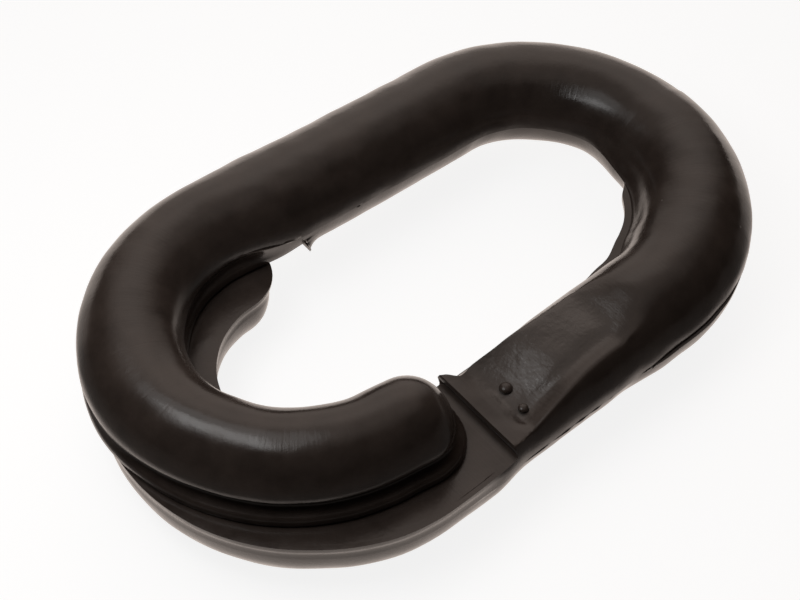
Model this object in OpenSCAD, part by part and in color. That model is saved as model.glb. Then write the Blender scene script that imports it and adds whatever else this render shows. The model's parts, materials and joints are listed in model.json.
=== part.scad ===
// Lap-joint chain connecting link: an oblong ring of round rod, open at one end, where its two
// ends lap one over the other round the whole bend. The bow at the other end is the spring: it
// twists when the lapped jaws are prised apart, and closes the link again when they are let go.
//
// X runs along the link: the solid bow is at +X and the lap is at -X. Y runs across it. Z is the
// way the jaws part. The origin is the centre of the eye, and the flat faces of the lap lie either
// side of Z = 0. Both halves follow one rule: the lower is the upper turned over about the X axis.

/* [Chain size] */
// Diameter of the round rod
rod_d = 8; // [7:0.25:9.5]
// Clear length of the eye between the bow and the lap, measured between rod faces
eye_length = 37.3; // [34:0.1:60]
// Clear width of the eye between the two legs
eye_width = 15.5; // [14:0.1:20]

/* [Lap] */
// Angle by which each leg leaves the plane of the lap, in degrees
leg_slope = 2.6; // [2:0.1:3.4]
// Clearance between the flat faces of the two jaws
lap_gap = 0.3; // [0.2:0.05:0.6]
// Distance of each step from the middle of the eye, towards the lap
step_reach = 5.3; // [4.5:0.1:5.6]
// Height of each step above the flat face of its own jaw
step_height = 0.8; // [0.5:0.05:1]
// Length of the flat band behind the edge of each step
step_band = 1.1; // [0.6:0.1:1.6]
// Angle of the lead-in ramp cut on each leg behind the step, in degrees
ramp_slope = 12.5; // [10:0.5:15]
// Height of the groove under the edge of each step
groove_height = 0.35; // [0.2:0.05:0.45]
// Depth of the groove under the edge of each step
groove_depth = 0.4; // [0.2:0.1:0.8]

// How much wider than its jaw each rounded tip is
tip_swell = 0.3; // [0.2:0.05:0.5]

// How far the neck stands proud of the leg and the jaw that it joins
neck_proud = 0.15; // [0.1:0.05:0.3]

/* [Upper jaw] */
// Width of the upper jaw
upper_jaw_w = 7; // [6.4:0.1:8]
// Height of the straight skirt under its rounded back
upper_skirt = 1.9; // [1.2:0.1:2.2]
// Distance that its end is drawn in towards the middle of the eye
upper_inset = 1.4; // [0:0.1:2]
// Angle that it turns through, from its leg to the middle of its rounded tip
upper_turn = 184; // [165:1:184]

/* [Lower jaw] */
// Width of the lower jaw
lower_jaw_w = 8.4; // [7.5:0.1:9]
// Height of the straight skirt over its rounded belly
lower_skirt = 0.6; // [0.3:0.1:1.2]
// Distance that its end is drawn in towards the middle of the eye
lower_inset = 1.9; // [0:0.1:2]
// Angle that it turns through, from its leg to the middle of its rounded tip
lower_turn = 173; // [165:1:178]

/* [Moulding marks] */
// Diameter of the two small pips on the lower leg's ramp
pip_d = 1; // [1:0.1:1.4]
// Height of each pip above the ramp
pip_height = 0.35; // [0.2:0.05:0.45]

/* [Hidden] */

$fn = 96;
rod_r = rod_d / 2;
bend_r = (eye_width + rod_d) / 2;               // bend radius of the rod's centre line
leg_half = (eye_length - eye_width) / 2;        // half the straight length of a leg
bow_x = leg_half + bend_r;                      // the bow's furthest centre point, where it twists
flat_z = lap_gap / 2;                           // height of a jaw's flat face off the lap plane
edge_z = flat_z - step_height;                  // height of the step's edge, past the lap plane
leg_z = (bow_x + step_reach) * tan(leg_slope);  // height of the leg's centre line at the step
tip_flat = 0.03;                                // height taken off the crown of each rounded tip
reach = 2 * bow_x;                              // longer than anything that is cut
pip_spots = [[1.6, -0.5], [1.3, 1.35]];         // each pip's place: up the ramp, and outwards
moulded = [0.13, 0.115, 0.105];                 // near-black plastic

// Section of a jaw: a flat face, a straight skirt and a half-round back.
module jaw_section(width, skirt) {
    translate([-width / 2, 0]) square([width, skirt]);
    translate([0, skirt]) intersection() {
        circle(d = width);
        translate([-width / 2, 0]) square([width, width / 2]);
    }
}

// A rounded tip, turned from one side of that section, with a small flat at its crown.
module tip(width, skirt) {
    rotate_extrude() intersection() {
        jaw_section(width, skirt);
        square([width / 2, skirt + width / 2 - tip_flat]);
    }
}

// A jaw, from the end of its leg round the bend to its tip, with its flat face down. Its arc is
// a little smaller than the bow's and starts in line with the leg, which draws the tip inwards.
module jaw(width, skirt, inset, turn) {
    arc_r = bend_r - inset / 2;
    translate([-leg_half, inset / 2, flat_z]) {
        rotate([0, 0, 90]) rotate_extrude(angle = turn) translate([arc_r, 0]) jaw_section(width, skirt);
        rotate([0, 0, 90 + turn]) translate([arc_r, 0, 0]) tip(width + tip_swell, skirt);
    }
}

// Tilts a half about the bow's furthest point, so that its leg rises towards the lap.
module sloped() {
    translate([bow_x, 0, 0]) rotate([0, leg_slope, 0]) translate([-bow_x, 0, 0]) children();
}

// Half the bow and one leg, as far as the step.
module bow_and_leg() {
    sloped() {
        translate([leg_half, 0, 0]) rotate_extrude(angle = 90) translate([bend_r, 0]) circle(r = rod_r);
        translate([-leg_half, bend_r, 0]) rotate([0, 90, 0]) cylinder(h = 2 * leg_half, r = rod_r);
    }
}

// The neck, a slightly tapered and sloping rod that carries the leg on into the back of its jaw.
module neck(jaw_w, skirt) {
    run = leg_half - step_reach;
    rise = flat_z + skirt - leg_z;
    length = norm([run, rise]);
    taper = jaw_w / 2 - rod_r;
    start_r = rod_r + neck_proud;
    intersection() {
        translate([-step_reach, bend_r, leg_z]) rotate([0, atan(rise / run) - 90, 0])
            translate([0, 0, -length])
                cylinder(h = 3 * length, r1 = start_r - taper, r2 = start_r + 2 * taper);
        translate([-leg_half, 0, -reach / 2]) cube([run, reach, reach]);
    }
}

// Everything that the lap takes away under a leg: the bed for the other jaw, the groove under the
// step's edge, the flat band behind the edge, and the lead-in ramp behind the band.
module lap_cut() {
    translate([-reach, 0, flat_z - reach]) cube([reach - step_reach, reach, reach]);
    translate([-step_reach - groove_depth, 0, flat_z - groove_height])
        cube([2 * groove_depth, reach, groove_height]);
    translate([-step_reach - groove_depth, 0, edge_z - reach])
        cube([step_band + groove_depth, reach, reach]);
    translate([step_band - step_reach, 0, edge_z]) rotate([0, ramp_slope, 0])
        translate([0, 0, -reach]) cube([reach, reach, reach]);
}

// One half of the link, with its leg at +Y and its jaw above the lap plane.
module link_half(jaw_w, skirt, inset, turn) {
    difference() {
        union() {
            difference() {
                bow_and_leg();
                translate([-step_reach - reach, 0, -reach / 2]) cube([reach, reach, reach]);
            }
            neck(jaw_w, skirt);
        }
        lap_cut();
    }
    jaw(jaw_w, skirt, inset, turn);
}

// Two small domed pips, standing on the ramp of a half drawn with its ramp face down. Each is a
// ball sunk into the leg, with its poles inside it.
module pips() {
    ramp_x = step_band - step_reach;
    for (spot = pip_spots) {
        translate([ramp_x, bend_r + spot[1], edge_z]) rotate([0, ramp_slope, 0])
            translate([spot[0], 0, pip_d / 2 - pip_height]) rotate([90, 0, 0]) sphere(d = pip_d);
    }
}

// The front leg, its half of the bow and the jaw that lies underneath.
module lower_half() {
    color(moulded) rotate([180, 0, 0]) {
        link_half(lower_jaw_w, lower_skirt, lower_inset, lower_turn);
        pips();
    }
}

// The back leg, its half of the bow and the jaw that lies on top.
module upper_half() {
    color(moulded) link_half(upper_jaw_w, upper_skirt, upper_inset, upper_turn);
}

lower_half();
upper_half();
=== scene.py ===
"""Looks for the lap-joint chain connecting link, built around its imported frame.

Each half of the link is drawn once in its own lap frame: its leg at +Y, its flat lap face down, and
its jaw turning round the -X end. The lower half is that shape turned over about the X axis.

A section is swept along a rail. A rail is a dict of arrays, with one value for each station:
  s, angle         distance along the rail, and the way out from the middle of the bend in degrees
  cx, cy, zc       centre line
  ox, oy, tx, ty   unit vectors outwards across the rail, and along it
  zb, xb           height of the under face, and how far its rows are moved along the rail
  on_bed           whether the under face is the flat face that the other jaw lies on
  ramp, fading     shares of the lead-in ramp, and of the run-out at its far end
  jaw, cap         0 on the leg to 1 on the jaw, and how far round its rounded tip (radians)
  w_in, w_out      half widths, towards the eye and away from it
  dome, flange     height of the rounded back, and flare at the foot of the straight skirt
  bead, lip, rise  ridges on the outer and inner rims, and tilt of the lower jaw's flat face

Lengths are in millimetres until mesh_from_rings() makes a mesh.
"""
import json
import math

import bpy
import numpy as np
from mathutils import Matrix, Vector


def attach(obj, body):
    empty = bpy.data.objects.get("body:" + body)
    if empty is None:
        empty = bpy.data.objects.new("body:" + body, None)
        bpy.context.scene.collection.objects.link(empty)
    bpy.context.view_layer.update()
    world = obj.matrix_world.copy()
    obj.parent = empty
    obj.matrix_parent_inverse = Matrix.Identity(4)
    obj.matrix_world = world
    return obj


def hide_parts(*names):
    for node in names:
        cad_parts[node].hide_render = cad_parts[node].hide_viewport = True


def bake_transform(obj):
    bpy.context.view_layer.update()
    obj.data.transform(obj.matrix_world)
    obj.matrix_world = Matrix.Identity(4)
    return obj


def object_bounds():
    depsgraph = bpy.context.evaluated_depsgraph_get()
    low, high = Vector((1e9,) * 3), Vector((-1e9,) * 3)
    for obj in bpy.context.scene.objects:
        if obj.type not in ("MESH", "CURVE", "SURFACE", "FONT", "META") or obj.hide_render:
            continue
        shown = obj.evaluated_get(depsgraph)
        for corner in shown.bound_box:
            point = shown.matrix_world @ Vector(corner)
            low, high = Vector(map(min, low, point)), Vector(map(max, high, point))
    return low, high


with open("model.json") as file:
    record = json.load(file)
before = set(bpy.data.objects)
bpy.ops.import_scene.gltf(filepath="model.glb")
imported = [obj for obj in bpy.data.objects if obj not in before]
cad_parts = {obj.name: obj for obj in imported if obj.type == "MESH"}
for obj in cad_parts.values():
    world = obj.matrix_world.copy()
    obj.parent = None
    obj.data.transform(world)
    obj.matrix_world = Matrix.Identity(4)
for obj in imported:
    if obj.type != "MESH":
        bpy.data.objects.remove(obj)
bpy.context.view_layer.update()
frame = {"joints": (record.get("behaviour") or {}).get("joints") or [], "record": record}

MM = 0.001
MOUNTS = {mount["name"]: mount for mount in frame["record"]["mounts"]}
BOW_X = frame["joints"][0]["pos_m"][0] / MM              # the bow's furthest centre point
ROD_R = BOW_X - MOUNTS["bow_seat"]["pos_m"][0] / MM      # radius of the rod
BEND_R = 11.75                                           # bend radius of the rod's centre line
LEG_HALF = BOW_X - BEND_R                                # half the straight length of a leg
SEAM_X = LEG_HALF - 1.3                                  # where the bow piece meets the legs
LEG_SLOPE = math.tan(math.radians(2.6))                  # each leg leaves the lap's plane at this slope

BAND = 1.1             # length of the flat band behind the step's edge
FLAT_Z = 0.15          # a jaw's flat face, off the lap plane
EDGE_Z = -0.65         # the step's edge, past the lap plane
RAMP_RISE = 2.0        # the lead-in ramp climbs this far, steeply at first and then flatter
RAMP_RUN = 5.0
RAMP_END = 9.0         # where it starts to run out, past the band
RUN_OUT = 1.8          # how far it falls away there
GROOVE_HEIGHT = 0.36   # the groove under the step's edge
GROOVE_DEPTH = 0.34
BED_MARGIN = 0.35      # a jaw's flat face has closer rows this far in from its corners
TILT_FROM = 1.0        # the lower jaw's flat face tilts beyond this distance from its centre line

# step_x: the step. half_w, out_w: a jaw's half width, towards the eye and away from it. skirt,
# dome: heights of its straight side and rounded back. inset: how far it is drawn in. turn, run: its
# bend in degrees and the straight after it. tip_top, tip_flat: how far its tip reaches past that, at
# the top and at the flat face. rim_inset: how far its rim stands in from the foot of the skirt.
# horn: the step's corner, out into the eye. sag: the leg's slight bow inwards.
UPPER = dict(
    name="upper", flip=1.0, step_x=-4.75, half_w=3.4, out_w=3.4, skirt=2.0, dome=3.4, inset=1.45,
    turn=171.0, run=2.4, tip_top=3.0, tip_flat=3.9, rim_inset=0.62, horn=0.7, sag=-0.22)
LOWER = dict(
    name="lower", flip=-1.0, step_x=-5.3, half_w=4.1, out_w=3.97, skirt=1.1, dome=4.3, inset=1.9,
    turn=176.0, run=0.4, tip_top=3.2, tip_flat=3.55, rim_inset=0.0, horn=0.5, sag=0.0)

# Small domes on the front leg's ramp: name, centre, radius and height
PIPS = [("pip_large", (-2.55, -11.37, 0.62), 0.48, 0.30),
        ("pip_small", (-2.68, -13.26, 0.48), 0.37, 0.22)]


# ---------------------------------------------------------------- small helpers

def smooth(t):
    """0 below 0, 1 above 1, smooth between."""
    t = np.clip(t, 0.0, 1.0)
    return t * t * (3.0 - 2.0 * t)


def rises(x, start, width):
    """0 up to start, and 1 from one width further on."""
    return smooth((x - start) / width)


def falls(x, end, width):
    """1 up to one width before end, and 0 from end on."""
    return smooth((end - x) / width)


def hump(x, centre, width):
    """A soft rise and fall about a centre, 1 high."""
    return np.exp(-((x - centre) / width) ** 2)


def waver(s, period, seed):
    """Smooth seeded noise of one distance, between -1 and 1."""
    values = np.random.default_rng(seed).uniform(-1.0, 1.0, 257)
    t = np.asarray(s, float) / period + 40.0
    i = np.floor(t).astype(int)
    f = smooth(t - i)
    return values[i % 257] * (1.0 - f) + values[(i + 1) % 257] * f


def spaced(*marks):
    """Joins (start, end, count) runs into one list; each run leaves out its last point."""
    return np.concatenate([np.linspace(a, b, n, endpoint=False) for a, b, n in marks])


# ---------------------------------------------------------------- the rail that a section follows

def sag_share(x):
    """How much of a leg's slight inward bow it shows at each place along the link."""
    return falls(x, 17.0, 7.0) * rises(x, -LEG_HALF, 5.0)


def leg_stations(lip):
    """Places along a leg, closest together round its step, and the index of the step's corner."""
    band = lip + BAND
    end = band + RAMP_END
    x = np.concatenate([
        spaced((SEAM_X, end - 0.2, 26), (end - 0.2, band + 0.8, 48), (band + 0.8, band + 0.3, 4),
               (band + 0.3, band - 0.3, 8), (band - 0.3, lip + 0.1, 6)),
        [lip + 0.10, lip + 0.05, lip, lip - 0.015, lip - 0.03, lip - 0.045, lip - 0.06, lip - 0.12],
        spaced((lip - 0.3, -LEG_HALF, 22))])
    return x, int(np.argmin(np.abs(x - lip)))


def leg_rail(half):
    """Stations along a leg in the lap frame, from the bow's seam to the start of its jaw."""
    lip = half["step_x"]
    x, corner = leg_stations(lip)
    count = len(x)
    past_band = x - lip - BAND
    on_ramp = np.clip(0.5 * (past_band + np.sqrt(past_band ** 2 + 0.5)) - 0.105, 0.0, None)
    climb = RAMP_RISE * (1.0 - np.exp(-on_ramp / RAMP_RUN)) + RUN_OUT * rises(on_ramp, RAMP_END, 5.0)
    zb = np.where(x > lip - 0.001, EDGE_Z - climb, FLAT_Z)
    xb = np.zeros(count)
    # the step: its corner, its face, and the ceiling and back of the groove
    profile = [(0.04, EDGE_Z + 0.03), (0.0, EDGE_Z + 0.10), (0.0, FLAT_Z - GROOVE_HEIGHT),
               (GROOVE_DEPTH, FLAT_Z - GROOVE_HEIGHT + 0.04), (GROOVE_DEPTH, FLAT_Z)]
    for at, (past_lip, z) in enumerate(profile, corner):
        xb[at] = x[at] - lip - past_lip
        zb[at] = z
    return dict(
        cx=x, cy=BEND_R + half["sag"] * sag_share(x), zc=(BOW_X - x) * LEG_SLOPE, zb=zb, xb=xb,
        angle=np.full(count, 90.0), ox=np.zeros(count), oy=np.ones(count), tx=-np.ones(count),
        ty=np.zeros(count), ramp=smooth(on_ramp), fading=rises(on_ramp, RAMP_END - 1.5, 3.0),
        on_bed=np.arange(count) > corner + 2, jaw=falls(x, lip, lip + LEG_HALF), cap=np.zeros(count))


def jaw_rail(half):
    """Stations round the bend and out to the rounded tip, carrying on from leg_rail()."""
    r = BEND_R - half["inset"] / 2.0
    turn = np.radians(90.0 + np.linspace(0.0, half["turn"], 84))
    run = np.linspace(0.0, half["run"], max(2, int(half["run"] / 0.35)))[1:]
    cap = np.radians(np.concatenate([np.linspace(0.0, 60.0, 11)[1:], np.linspace(60.0, 88.5, 12)[1:]]))
    after = len(run) + len(cap)
    ox = np.concatenate([np.cos(turn), np.full(after, math.cos(turn[-1]))])
    oy = np.concatenate([np.sin(turn), np.full(after, math.sin(turn[-1]))])
    on = np.concatenate([np.zeros(len(turn)), run, np.full(len(cap), half["run"])])
    tx, ty = -oy, ox
    zero = np.zeros(len(ox))
    return dict(
        cx=r * ox + on * tx - LEG_HALF, cy=r * oy + on * ty + half["inset"] / 2.0,
        zc=zero + FLAT_Z + half["skirt"], zb=zero + FLAT_Z, xb=zero,
        angle=np.degrees(np.unwrap(np.arctan2(oy, ox))), ox=ox, oy=oy, tx=tx, ty=ty,
        ramp=zero, fading=zero, on_bed=zero == 0.0, jaw=zero + 1.0,
        cap=np.concatenate([np.zeros(len(turn) + len(run)), cap]))


def distances(rail):
    """Distance along a rail, from its first station."""
    return np.concatenate([[0.0], np.cumsum(np.hypot(np.diff(rail["cx"]), np.diff(rail["cy"])))])


def half_rail(half):
    """The whole rail of one half, with widths and heights that blend from rod to jaw."""
    leg, jaw = leg_rail(half), jaw_rail(half)
    rail = {key: np.concatenate([leg[key], jaw[key]]) for key in leg}
    rail["s"] = distances(rail)
    upper = half["flip"] > 0
    share, x, angle = rail["jaw"], rail["cx"], rail["angle"]
    rail["zc"] = rail["zc"] * (1.0 - share) + (FLAT_Z + half["skirt"]) * share
    rail["dome"] = ROD_R + (half["dome"] - ROD_R) * share
    wide = ROD_R + (half["half_w"] - ROD_R) * share
    rim = rises(rail["s"] - rail["s"][len(leg["cx"])], 14.0, 10.0)
    bulge = (0.22 * falls(x, -1.0, 5.0) * falls(angle, 190.0, 30.0)
             + 0.25 * rises(angle, 92.0, 40.0) * falls(angle, 212.0, 30.0))
    tuck = 0.16 * rises(angle, 192.0, 15.0) * falls(angle, 260.0, 20.0)
    rail["w_in"] = wide + tuck * upper
    rail["w_out"] = (wide - (half["half_w"] - half["out_w"]) * share - half["rim_inset"] * rim
                     + bulge * upper)
    rail["flange"] = half["rim_inset"] * rim + 0.06 * share
    rail["bead"] = 0.28 * rim * upper
    rail["lip"] = np.zeros(len(x))
    rail["rise"] = 0.17 * falls(x, -7.0, 3.0) * (not upper)
    return rail


def bow_rail():
    """Stations in the part's frame, from the front leg's seam round the bow to the back leg's."""
    straight = np.linspace(SEAM_X, LEG_HALF, 7)[:-1]
    turn = np.linspace(-90.0, 90.0, 150)
    ends = np.full(len(straight), 90.0)
    angle = np.concatenate([-ends, turn, ends])
    ox, oy = np.cos(np.radians(angle)), np.sin(np.radians(angle))
    cx = np.concatenate([straight, np.full(len(turn), LEG_HALF), straight[::-1]]) + BEND_R * ox
    cy = BEND_R * oy + UPPER["sag"] * sag_share(cx) * (oy > 0.0)
    zc = (BOW_X - cx) * LEG_SLOPE * np.sign(oy)
    zero = np.zeros(len(cx))
    lean = 0.75 * rises(angle, -90.0, 25.0) * falls(angle, 22.0, 34.0)
    swell = 0.1 * (oy < 0.0) * smooth(ox * 1.5)
    rail = dict(
        cx=cx, cy=cy, zc=zc, zb=zc - 2.0 * ROD_R, xb=zero, angle=angle, ox=ox, oy=oy, tx=-oy, ty=ox,
        ramp=zero, fading=zero, on_bed=zero > 0.0, jaw=zero, cap=zero, w_in=ROD_R + 0.4 * lean,
        w_out=ROD_R + swell, dome=zero + ROD_R, flange=zero, bead=zero, lip=0.6 * lean, rise=zero)
    rail["s"] = distances(rail)
    return rail


# ---------------------------------------------------------------- the section

TOP = np.radians(np.linspace(0.0, 180.0, 53))
SIDE = np.array([0.0, 0.12, 0.25, 0.4, 0.55, 0.66, 0.72, 0.86, 1.0])
EXTRA = np.linspace(0.0, 1.0, 15)[1:]
BOTTOM = np.sin(np.radians(np.linspace(-90.0, 90.0, 31)))[1:-1]
LOWEST = math.radians(56.0)  # how far round the under side the side rows reach
LEDGE = 0.05                 # height of the narrow step left between the two sides of the mould


def top_rows(rail):
    """The rows over the rounded back, from the outer rim to the inner: (along, across, height)."""
    mid = (rail["w_out"] - rail["w_in"]) / 2.0
    wide = (rail["w_out"] + rail["w_in"]) / 2.0
    bead = rail["bead"][:, None] * hump(TOP, 0.0, 0.34)
    lip = rail["lip"][:, None] * hump(TOP, math.pi, 0.17)
    lift = np.maximum(np.sin(TOP) * rail["dome"][:, None], LEDGE / 2.0)
    # the back comes down with its width round the tip
    lift = lift * np.cos(rail["cap"])[:, None] ** 1.05
    u = mid[:, None] + wide[:, None] * np.cos(TOP) + bead - lip
    return np.zeros_like(u), u, rail["zc"][:, None] + lift + 0.3 * bead


def rod_angle(rail, height):
    """How far round the rod, down from its side, a height is met."""
    return np.arcsin(np.clip((rail["zc"] - height) / ROD_R, 0.06, math.sin(LOWEST)))[:, None]


def skirt_rows(rail, wide, rise):
    """The straight side of a jaw: hollowed slightly, and flared at its foot."""
    zc = rail["zc"][:, None]
    hollow = 0.22 * np.sin(np.pi * np.clip(SIDE / 0.8, 0.0, 1.0)) * np.clip(zc - FLAT_Z - 1.0, 0.0, 1.0)
    u = wide - hollow + rail["flange"][:, None] * rises(SIDE, 0.5, 0.22)
    return u, zc + (FLAT_Z - rise - zc) * SIDE


def side_rows(rail, sign):
    """The rows down one side and round to the under face: (along, across, height)."""
    zc, zb, xb, jaw, on_bed = (rail[key][:, None] for key in ("zc", "zb", "xb", "jaw", "on_bed"))
    wide = (rail["w_out"] if sign > 0 else rail["w_in"])[:, None]
    rise = rail["rise"][:, None] * (sign > 0)
    bed = rod_angle(rail, FLAT_Z)
    low = np.maximum(rod_angle(rail, rail["zb"]) - 0.14 * rail["ramp"][:, None], bed)
    skirt_u, skirt_z = skirt_rows(rail, wide, rise)
    u = ROD_R * np.cos(bed * SIDE) * (1.0 - jaw) + skirt_u * jaw
    z = (zc - ROD_R * np.sin(bed * SIDE)) * (1.0 - jaw) + skirt_z * jaw
    corner_u, corner_z = u[:, -1:], z[:, -1:]
    round_rod = bed + (low - bed) * EXTRA
    bed_z = corner_z + (FLAT_Z - corner_z) * EXTRA * (rise == 0.0) + 0.118 * rise * EXTRA
    bed_z = np.where(xb == 0.0, bed_z, corner_z + (zb - corner_z) * EXTRA)
    extra_u = np.where(on_bed, corner_u - BED_MARGIN * EXTRA, ROD_R * np.cos(round_rod))
    extra_z = np.where(on_bed, bed_z, zc - ROD_R * np.sin(round_rod))
    along = np.concatenate([np.zeros_like(u), xb * EXTRA], axis=1)
    z = np.concatenate([z, extra_z], axis=1)
    z[:, 0] = np.minimum(z[:, 0], rail["zc"] - LEDGE / 2.0)
    return along, sign * np.concatenate([u, extra_u], axis=1), z


def bottom_rows(rail, inner_u, outer_u):
    """The rows across the under side, from the inner corner to the outer: (along, across, height)."""
    mid, half = (outer_u + inner_u) / 2.0, (outer_u - inner_u) / 2.0
    w = BOTTOM
    u = mid[:, None] + half[:, None] * w
    ramp, fading, zb = (rail[key][:, None] for key in ("ramp", "fading", "zb"))
    # the ramp is dished, deepest near its band, with a valley along its outer side
    near = ramp * (1.0 - fading)
    dish = 0.10 * ramp + 0.55 * near * hump(rail["cx"], -2.2, 2.5)[:, None]
    plane = zb + dish * (1.0 - w ** 2) + 0.3 * near * hump(w, 0.5, 0.22)
    # it meets the rod in a rounded edge, closer to sharp near the seam with the bow
    gap = rail["zc"][:, None] - np.sqrt(np.clip(ROD_R ** 2 - u ** 2, 0.01, None)) - plane
    blunt = 0.06 + (0.3 * ramp + 0.4 * fading) * falls(rail["cx"], SEAM_X, 2.5)[:, None]
    blunt = blunt * (1.0 - w ** 6)
    z = plane + 0.5 * (gap + np.sqrt(gap ** 2 + blunt ** 2))
    tilt = np.clip((u - TILT_FROM) / (outer_u[:, None] + BED_MARGIN - TILT_FROM), 0.0, None)
    z = np.where(rail["on_bed"][:, None], zb - rail["rise"][:, None] * tilt, z)
    return rail["xb"][:, None] + 0.0 * w, u, z


def horn_push(rail, half, rows):
    """How far the step's inner corner flares out towards the eye, for the inner rows."""
    past = rail["cx"] - half["step_x"]
    near = np.clip(1.0 - past / 1.7, 0.0, 1.0) ** 2.6
    near = np.where(rail["on_bed"] | (past < -0.1), 0.0, near)
    return half["horn"] * near[:, None] * rows


def fit_lower_half(rail, top_u, in_u, out_u):
    """Shaves the inner side of the lower half's leg, and swells its neck outwards, in place."""
    x = rail["cx"]
    shaved = 0.55 * rises(x, -5.0, 0.8) * falls(x, 4.0, 8.0)
    in_u += shaved[:, None] * smooth(np.linspace(0.0, 1.6, in_u.shape[1]))
    swell = 0.3 * falls(x, -4.0, 3.0) * falls(rail["angle"], 130.0, 30.0) * (rail["cy"] > 0.0)
    out_u += swell[:, None]
    top_u += swell[:, None] * smooth(np.cos(TOP))


def section_rings(rail, half, flash):
    """All the section's points, as rings of (x, y, z); flash is the fin's width on each side."""
    top = top_rows(rail)
    inner, outer = side_rows(rail, -1), side_rows(rail, 1)
    if half["flip"] < 0:
        fit_lower_half(rail, top[1], inner[1], outer[1])
    bottom = bottom_rows(rail, inner[1][:, -1], outer[1][:, -1])
    horn_rows = np.concatenate([0.25 * smooth(np.linspace(-1.0, 1.0, len(SIDE))), 0.25 + 0.75 * EXTRA])
    inner[1][:] -= horn_push(rail, half, horn_rows)
    bottom[1][:] -= horn_push(rail, half, np.clip(1.0 - np.arange(len(BOTTOM)) / 3.0, 0.0, 1.0) ** 1.5)
    fin_in = (inner[0][:, :1], inner[1][:, :1] - flash[0][:, None], rail["zc"][:, None])
    fin_out = (outer[0][:, :1], outer[1][:, :1] + flash[1][:, None], rail["zc"][:, None])
    outer = [rows[:, ::-1] for rows in outer]
    parts = [top, fin_in, inner, bottom, outer, fin_out]
    return place_section(rail, half, *(np.concatenate(rows, axis=1) for rows in zip(*parts)))


def place_section(rail, half, along, across, height):
    """Rounds the rows off at the tip, where the flat face runs on further, and puts them in place."""
    zc, cap = rail["zc"][:, None], rail["cap"][:, None]
    fall = smooth((zc - height) / np.maximum(zc - FLAT_Z, 0.1))
    along = along + np.sin(cap) * (half["tip_top"] + (half["tip_flat"] - half["tip_top"]) * fall)
    mid = (rail["w_out"] - rail["w_in"])[:, None] / 2.0
    across = mid + (across - mid) * np.cos(cap) ** (1.0 - 0.15 * fall)
    x = rail["cx"][:, None] + along * rail["tx"][:, None] + across * rail["ox"][:, None]
    y = rail["cy"][:, None] + along * rail["ty"][:, None] + across * rail["oy"][:, None]
    return np.stack([x, y, height], axis=-1)


# ---------------------------------------------------------------- wear and moulding marks

def bow_mould_steps(rail):
    """How far the under side of the bow stands off its top side, at its inner and outer edges."""
    a = rail["angle"]
    start = np.where(a > 0.0, 1.0, rises(rail["cx"], 8.0, 3.5))
    inner = (-0.42 - 0.4 * start - 0.45 * rises(a, -90.0, 22.0) + 0.75 * rises(a, -32.0, 16.0)
             + 1.0 * rises(a, -6.0, 34.0) - 0.21 * rises(a, 75.0, 15.0))
    outer = (0.2 + 0.12 * smooth(np.cos(np.radians(a)) * 1.5) * (a < 0.0) - 0.7 * rises(a, -85.0, 55.0)
             + 0.83 * rises(a, 0.0, 90.0))
    return inner, outer


def leg_mould_steps(rail, upper):
    """The same along a leg; they fade out before its jaw."""
    x = rail["cx"]
    fade = rises(x, -9.0, 6.0) * (rail["jaw"] < 1.0)
    if upper:
        return (0.22 + 0.05 * rises(x, 6.0, 3.6)) * fade, 0.33 * fade
    inner = -0.22 - 0.2 * rises(x, -2.0, 8.0) - 0.4 * rises(x, 8.0, 3.5)
    return inner * fade, (-0.15 + 0.35 * rises(x, 5.0, 4.0)) * fade


def shift_mould(rings, rail, rows, steps):
    """Moves the rows of the mould's under side inwards or outwards by those amounts."""
    inner, outer = steps
    part = rings[:, rows]
    away = (part[..., 0] - rail["cx"][:, None]) * rail["ox"][:, None] + (
        part[..., 1] - rail["cy"][:, None]) * rail["oy"][:, None]
    share = smooth(0.5 + away / 3.2)
    push = inner[:, None] * (1.0 - share) + outer[:, None] * share
    part[..., 0] += push * rail["ox"][:, None]
    part[..., 1] += push * rail["oy"][:, None]


def weather(rings):
    """A slight waviness that depends only on place, so that pieces still meet at their seams."""
    away = rings - rings.mean(axis=1, keepdims=True)
    away /= np.linalg.norm(away, axis=-1, keepdims=True) + 1e-9
    rng = np.random.default_rng(11)
    push = np.zeros(rings.shape[:2])
    for wave in (7.0, 4.1, 2.3, 1.3):
        for _ in range(3):
            heading = rng.normal(size=3)
            heading /= np.linalg.norm(heading)
            phase = rings @ heading * (2.0 * math.pi / wave) + rng.uniform(0.0, 6.3)
            push += 0.0022 * wave ** 0.7 * np.sin(phase)
    return rings + away * push[..., None]


# ---------------------------------------------------------------- meshes

def ring_faces(stations, around):
    """Quads between neighbouring rings, and a fan over each end to a point of its own."""
    i = np.arange(stations - 1)[:, None] * around
    j = np.arange(around)[None, :]
    k = (j + 1) % around
    sides = np.stack([i + j, i + around + j, i + around + k, i + k], axis=-1).reshape(-1, 4)
    j, k = j[0], k[0]
    centre = np.full(around, stations * around)
    first = np.stack([j, k, centre], axis=-1)
    last = np.stack([k + centre - around, j + centre - around, centre + 1], axis=-1)
    return sides.tolist() + first.tolist() + last.tolist()


def add_attribute(mesh, name, values):
    """Gives each point of a mesh a value that the material can read."""
    made = mesh.attributes.new(name, "FLOAT", "POINT")
    made.data.foreach_set("value", values.astype(np.float32))


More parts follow.
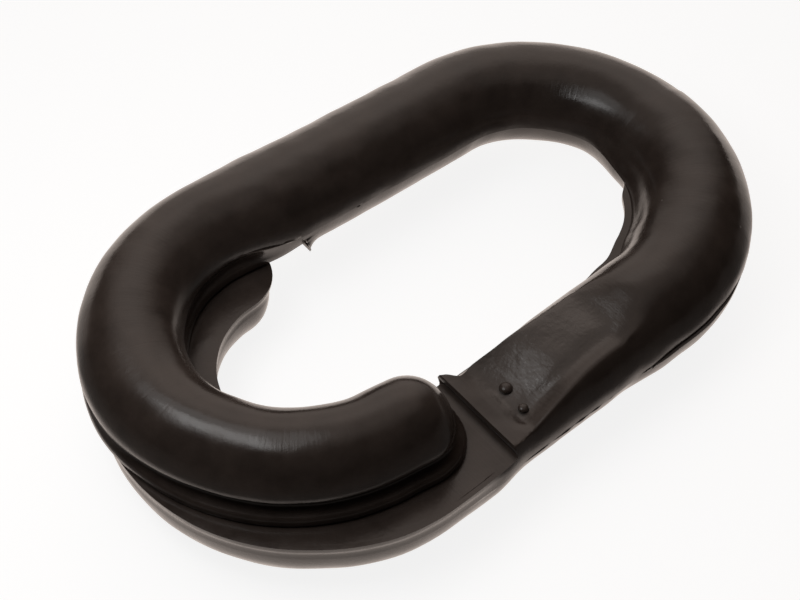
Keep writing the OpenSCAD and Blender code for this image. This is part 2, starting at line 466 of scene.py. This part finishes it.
def mesh_from_rings(name, rings, s, worn=None):
    """A closed, smooth mesh object from rings in millimetres; worn says how rubbed each point is."""
    stations, around = rings.shape[:2]
    points = np.concatenate([rings.reshape(-1, 3), rings[[0, -1]].mean(axis=1)])
    mesh = bpy.data.meshes.new(name)
    mesh.from_pydata((points * MM).tolist(), [], ring_faces(stations, around))
    add_attribute(mesh, "along", np.append(np.repeat(s, around), s[[0, -1]]))
    wear = np.zeros(stations * around) if worn is None else worn
    add_attribute(mesh, "worn", np.append(wear, [0.0, 0.0]))
    mesh.polygons.foreach_set("use_smooth", [True] * len(mesh.polygons))
    mesh.update()
    mesh.set_sharp_from_angle(angle=math.radians(48.0))
    piece = bpy.data.objects.new(name, mesh)
    bpy.context.scene.collection.objects.link(piece)
    return piece


def flash_widths(rail, upper):
    """Widths of the ragged fins where the mould parted, on the inner and outer sides of a leg."""
    s = rail["s"]
    rod = (1.0 - smooth(rail["jaw"] * 1.5)) * smooth(s / 1.5)
    inner = 0.10 * np.clip(0.5 * waver(s, 0.55, 3) + 0.8 * waver(s, 1.9, 4) - 0.25, 0.0, None)
    outer = 0.06 * np.clip(waver(s, 0.7, 5) + waver(s, 2.6, 6) - 0.35, 0.0, None)
    tab = 0.3 * hump(rail["cx"], -0.1, 0.3) * upper
    return inner * rod + tab, outer * rod


def ramp_wear(rail, half, around):
    """How rubbed each point of a leg is: all of its ramp, fading at both ends and the outer edge."""
    along = rises(rail["cx"], half["step_x"] + 0.7 * BAND, 1.2) * falls(rail["cx"], 8.5, 3.5)
    across = np.zeros(around)
    first = len(TOP) + 1 + len(SIDE) + len(EXTRA)    # the first row of the under side
    across[first - 3:first] = 1.0
    across[first:first + len(BOTTOM)] = falls(BOTTOM, 0.9, 0.5)
    return along[:, None] * across


def make_half(half):
    """One leg with its step, ramp, neck and jaw."""
    rail = half_rail(half)
    upper = half["flip"] > 0
    rings = section_rings(rail, half, flash_widths(rail, upper))
    under = slice(len(TOP), None) if upper else slice(0, len(TOP))
    shift_mould(rings, rail, under, leg_mould_steps(rail, upper))
    rings = weather(rings * np.array([1.0, half["flip"], half["flip"]]))
    return mesh_from_rings(
        half["name"] + "_leg_and_jaw", rings, rail["s"], ramp_wear(rail, half, rings.shape[1]))


def make_bow():
    """The bow that springs, rubbed a little along its back where it turns into the back leg."""
    rail = bow_rail()
    rings = section_rings(rail, UPPER, [np.zeros(len(rail["s"]))] * 2)
    shift_mould(rings, rail, slice(len(TOP), None), bow_mould_steps(rail))
    rubbed = 0.35 * rises(rail["angle"], 18.0, 20.0) * falls(rail["angle"], 100.0, 20.0)
    crown = np.zeros(rings.shape[1])
    crown[:len(TOP)] = np.sin(TOP)
    return mesh_from_rings("bow", weather(rings), rail["s"], rubbed[:, None] * crown)


def make_pip(name, spot, radius, height):
    """A low dome on the front leg's ramp, with its foot sunk into it."""
    turn = np.radians(np.arange(0, 360, 12))
    rise = np.radians([-60.0, -30.0, 0.0, 20.0, 40.0, 58.0, 74.0, 85.0])
    rings = np.stack([np.stack([spot[0] + radius * math.cos(v) * np.cos(turn),
                                spot[1] + radius * math.cos(v) * np.sin(turn),
                                np.full(len(turn), spot[2] + height * math.sin(v))], axis=-1)
                      for v in rise])
    return mesh_from_rings(name, rings[:, ::-1], rise)


# ---------------------------------------------------------------- shader nodes

def feed(tree, socket, value):
    """Links a socket to a node's output, or gives it a plain value."""
    if isinstance(value, bpy.types.NodeSocket):
        tree.links.new(value, socket)
    else:
        socket.default_value = value


def node(tree, kind, **inputs):
    """A node with those inputs; an underscore in an input's name stands for a space."""
    made = tree.nodes.new(kind)
    for key, value in inputs.items():
        feed(tree, made.inputs[key.replace("_", " ")], value)
    return made


def remap(tree, value, start, end, low=0.0, high=1.0, curve="LINEAR"):
    """Low at start and high at end, and no further on either side."""
    made = node(tree, "ShaderNodeMapRange", Value=value, From_Min=start, From_Max=end, To_Min=low,
                To_Max=high)
    made.interpolation_type = curve
    return made.outputs["Result"]


def combine(tree, operation, a, b):
    """Two numbers put together by a Math node."""
    made = tree.nodes.new("ShaderNodeMath")
    made.operation = operation
    feed(tree, made.inputs[0], a)
    feed(tree, made.inputs[1], b)
    return made.outputs["Value"]


def share_along(tree, vector, direction):
    """How much of a vector lies along a direction."""
    made = tree.nodes.new("ShaderNodeVectorMath")
    made.operation = "DOT_PRODUCT"
    feed(tree, made.inputs[0], vector)
    feed(tree, made.inputs[1], direction)
    return made.outputs["Value"]


def mix(tree, kind, factor, a, b):
    """From a to b as factor goes from 0 to 1; kind is FLOAT or RGBA."""
    made = tree.nodes.new("ShaderNodeMix")
    made.data_type = kind
    for key, value in (("Factor", factor), ("A", a), ("B", b)):
        feed(tree, made.inputs[key], value)
    return made.outputs["Result"]


def attribute(tree, name):
    """The value that add_attribute() gave to each point."""
    made = tree.nodes.new("ShaderNodeAttribute")
    made.attribute_name = name
    return made.outputs["Fac"]


def noise(tree, place, scale, detail, roughness):
    """Soft noise, with that many lumps to the metre."""
    made = node(tree, "ShaderNodeTexNoise", Vector=place, Scale=scale, Detail=detail,
                Roughness=roughness)
    return made.outputs["Fac"]


def bump(tree, height, distance, strength, under=None):
    """Relief of that distance in metres, on top of the relief under it."""
    made = node(tree, "ShaderNodeBump", Height=height, Distance=distance, Strength=strength)
    if under is not None:
        tree.links.new(under, made.inputs["Normal"])
    return made.outputs["Normal"]


def new_material(name):
    """A material, its node tree and its main shader."""
    material = bpy.data.materials.new(name)
    material.use_nodes = True
    return material, material.node_tree, material.node_tree.nodes["Principled BSDF"]


# ---------------------------------------------------------------- materials

def streaks(tree, place):
    """Fine streaks that run round the section: quick along a piece, and slow up and down it."""
    split = node(tree, "ShaderNodeSeparateXYZ", Vector=place)
    height = combine(tree, "MULTIPLY", split.outputs["Z"], 160.0)
    drawn = node(tree, "ShaderNodeCombineXYZ", X=attribute(tree, "along"), Y=height)
    return noise(tree, drawn.outputs["Vector"], 5.0, 3.0, 0.6)


def dust_specks(tree, place):
    """A few small specks: the middles of some of the cells that fill the space."""
    cells = node(tree, "ShaderNodeTexVoronoi", Vector=place, Scale=420.0)
    middle = remap(tree, cells.outputs["Distance"], 0.055, 0.035)
    chosen = remap(tree, cells.outputs["Color"], 0.86, 0.9)
    return combine(tree, "MULTIPLY", middle, chosen)


def plastic_colour(tree, place, blotch, worn):
    """Near-black and mottled, paler where it is worn, with specks of pale dust."""
    mottled = node(tree, "ShaderNodeValToRGB", Fac=blotch)
    dark, light = mottled.color_ramp.elements
    dark.position, dark.color = 0.3, (0.046, 0.035, 0.030, 1.0)
    light.position, light.color = 0.75, (0.070, 0.053, 0.045, 1.0)
    scuffs = remap(tree, worn, 0.4, 1.0, 0.0, 0.75)
    scuffed = mix(tree, "RGBA", scuffs, mottled.outputs["Color"], (0.115, 0.099, 0.091, 1.0))
    return mix(tree, "RGBA", dust_specks(tree, place), scuffed, (0.42, 0.40, 0.37, 1.0))


def plastic_relief(tree, place, worn):
    """Broad waves and fine streaks, then dents and grain that are strongest where it is worn."""
    relief = bump(tree, noise(tree, place, 150.0, 2.0, 0.5), 0.00025, 0.5)
    relief = bump(tree, streaks(tree, place), 0.00002, 0.5, relief)
    dents = noise(tree, place, 820.0, 2.5, 0.5)
    relief = bump(tree, dents, 0.00009, remap(tree, worn, 0.4, 1.0, 0.0, 0.9), relief)
    grain = noise(tree, place, 2600.0, 3.0, 0.55)
    return bump(tree, grain, 0.00003, remap(tree, worn, 0.0, 1.0, 0.25, 0.95), relief)


def plastic():
    """Near-black moulded plastic: glossy, finely streaked, dented and pale where worn, dusty."""
    material, tree, shader = new_material("near_black_plastic")
    place = tree.nodes.new("ShaderNodeTexCoord").outputs["Object"]
    worn = attribute(tree, "worn")
    blotch = noise(tree, place, 420.0, 3.0, 0.6)
    feed(tree, shader.inputs["Base Color"], plastic_colour(tree, place, blotch, worn))
    feed(tree, shader.inputs["Roughness"], remap(tree, blotch, 0.3, 0.7, 0.15, 0.27))
    feed(tree, shader.inputs["IOR"], 1.5)
    feed(tree, shader.inputs["Normal"], plastic_relief(tree, place, worn))
    return material


def floor_material():
    """Pale and even to the camera. The link mirrors it warm, and bright only close by and beyond it."""
    material, tree, shader = new_material("pale_floor")
    feed(tree, shader.inputs["Base Color"], (0.35, 0.35, 0.35, 1.0))
    feed(tree, shader.inputs["Roughness"], 0.9)
    feed(tree, shader.inputs["Specular IOR Level"], 0.0)
    seen = tree.nodes.new("ShaderNodeLightPath").outputs["Is Camera Ray"]
    facing = node(tree, "ShaderNodeLayerWeight", Blend=0.5).outputs["Facing"]
    close_by = remap(tree, facing, 0.48, 0.22, curve="SMOOTHSTEP")
    back = tree.nodes.new("ShaderNodeNewGeometry").outputs["Incoming"]
    beyond = remap(tree, share_along(tree, back, toward(230, 0)), 0.3, 0.85, curve="SMOOTHSTEP")
    mirrored = combine(tree, "MAXIMUM", beyond, close_by)
    feed(tree, shader.inputs["Emission Color"], mix(tree, "RGBA", seen, WARM, WHITE))
    feed(tree, shader.inputs["Emission Strength"], mix(tree, "FLOAT", seen, mirrored, 0.86))
    return material


# ---------------------------------------------------------------- stage, light and camera

WARM = (1.0, 0.87, 0.79, 1.0)
WHITE = (1.0, 1.0, 1.0, 1.0)
FLOOR_HALF = 1.2         # half the floor's width, in metres
FLOOR_GAP = 0.00002      # and how far it lies under the link

# Soft patches of light on the sky: azimuth, elevation, the angles off its centre where a patch ends
# and where it is full, and strength
SKY_LOBES = [(50, 27, 46, 8, 0.72), (60, 75, 50, 10, 0.36)]

# Oval lamps: name, place, length, width and radiance, where 1 is as bright as white
LAMPS = [("window", (-35.0, 4.0, 60.0), 40.0, 20.0, 2.3),
         ("window_glow", (-30.0, 10.0, 66.0), 66.0, 50.0, 0.85)]


def toward(azimuth, elevation):
    """A unit vector; azimuth is counted from +X towards +Y."""
    a, e = math.radians(azimuth), math.radians(elevation)
    return (math.cos(a) * math.cos(e), math.sin(a) * math.cos(e), math.sin(e))


def make_floor():
    """A wide pale floor, just under the link."""
    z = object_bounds()[0].z - FLOOR_GAP
    corners = [(-1, -1), (1, -1), (1, 1), (-1, 1)]
    mesh = bpy.data.meshes.new("floor")
    mesh.from_pydata([(x * FLOOR_HALF, y * FLOOR_HALF, z) for x, y in corners], [], [(0, 1, 2, 3)])
    mesh.materials.append(floor_material())
    floor = bpy.data.objects.new("floor", mesh)
    bpy.context.scene.collection.objects.link(floor)


def make_lamp(name, place, length, width, radiance):
    """An oval lamp at that place, long across the link and aimed at its centre."""
    data = bpy.data.lights.new(name, "AREA")
    data.shape = "ELLIPSE"
    data.size, data.size_y = length * MM, width * MM
    data.energy = radiance * math.pi * (math.pi / 4.0) * length * width * MM ** 2
    lamp = bpy.data.objects.new(name, data)
    lamp.location = Vector(place) * MM
    lamp.rotation_euler = Vector(place).to_track_quat("Z", "Y").to_euler()
    bpy.context.scene.collection.objects.link(lamp)


def sky_lobe(tree, sky, azimuth, elevation, edge, core, strength):
    """One soft patch of light on the sky."""
    edge, core = math.cos(math.radians(edge)), math.cos(math.radians(core))
    share = share_along(tree, sky, toward(azimuth, elevation))
    return remap(tree, share, edge, core, 0.0, strength, "SMOOTHSTEP")


def make_world():
    """A dark room with a broad glow behind the link, and a dimmer one overhead."""
    world = bpy.data.worlds.new("studio")
    world.use_nodes = True
    tree = world.node_tree
    sky = tree.nodes.new("ShaderNodeTexCoord").outputs["Generated"]
    behind, overhead = (sky_lobe(tree, sky, *lobe) for lobe in SKY_LOBES)
    background = tree.nodes["Background"]
    feed(tree, background.inputs["Strength"], combine(tree, "ADD", behind, overhead))
    feed(tree, background.inputs["Color"], WARM)
    bpy.context.scene.world = world


def make_camera():
    """The camera that shows the link as it was seen: from above its front left, through a long lens."""
    elevation, azimuth, roll = math.radians(51.03), math.radians(-39.78), math.radians(0.289)
    distance, target = 110.5, np.array([-2.872, -0.584, 0.0])
    back = np.array([math.sin(azimuth) * math.cos(elevation),
                     -math.cos(azimuth) * math.cos(elevation), math.sin(elevation)])
    level = np.array([math.cos(azimuth), math.sin(azimuth), 0.0])
    upright = np.cross(back, level)
    turn = np.eye(4)
    turn[:3, 0] = math.cos(roll) * level + math.sin(roll) * upright
    turn[:3, 1] = math.cos(roll) * upright - math.sin(roll) * level
    turn[:3, 2] = back
    turn[:3, 3] = (target + back * distance) * MM
    data = bpy.data.cameras.new("camera")
    data.sensor_width, data.lens = 36.0, 70.18
    data.clip_start, data.clip_end = 0.01, 10.0
    camera = bpy.data.objects.new("camera", data)
    camera.matrix_world = Matrix(turn.tolist())
    bpy.context.scene.collection.objects.link(camera)
    bpy.context.scene.camera = camera


# ---------------------------------------------------------------- the whole scene

def build():
    """Every piece, with its material; the pips and both halves on the bodies that they ride, and the
    bow on none.
    """
    skin = plastic()
    bow, front, back = make_bow(), make_half(LOWER), make_half(UPPER)
    pips = [make_pip(*pip) for pip in PIPS]
    for pip in pips:
        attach(pip, "lower_half")
    for piece in (bow, front, back, *pips):
        piece.data.materials.append(skin)
    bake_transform(bow)
    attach(front, "lower_half")
    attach(back, "upper_half")
    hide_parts("lower_half")
    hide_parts("upper_half")


build()
make_floor()
make_world()
for lamp in LAMPS:
    make_lamp(*lamp)
make_camera()
bpy.context.scene.view_settings.view_transform = "Standard"
